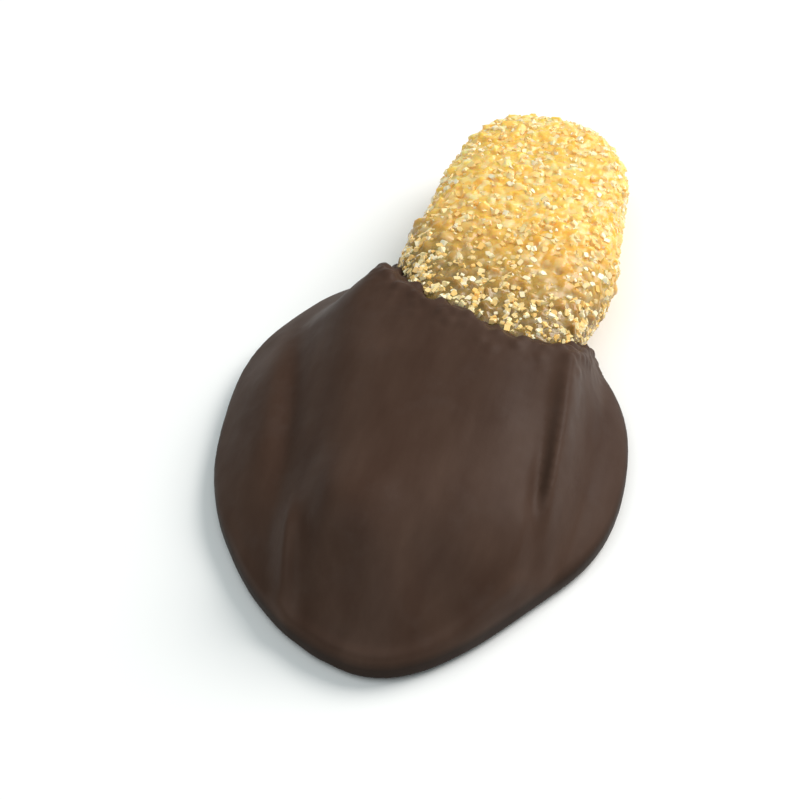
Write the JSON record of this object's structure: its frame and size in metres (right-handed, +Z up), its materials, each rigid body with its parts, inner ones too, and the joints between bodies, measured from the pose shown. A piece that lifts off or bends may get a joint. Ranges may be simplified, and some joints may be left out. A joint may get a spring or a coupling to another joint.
{
  "type": "chocolate covered ginger piece",
  "caption": "Slice of crystallised ginger half dipped in dark chocolate: lumpy sugared tip, flat-bottomed coat with a raised top and a low pooled foot.",
  "frame": {"origin": "middle of the piece's bounding box in plan, on the flat underside that it rests on", "axes": "+Y along the piece towards the bare sugared tip, +Z up, +X to the right seen from the chocolate end"},
  "size_m": [0.0286, 0.0552, 0.009],
  "materials": {
    "ginger": "translucent amber candied ginger under a crust of colourless sugar crystals",
    "chocolate": "set dark chocolate, satin, with soft streaks and a slightly duller bloom"
  },
  "bodies": {
    "root": {"ginger": "ginger", "chocolate": "chocolate"}
  },
  "joints": []
}
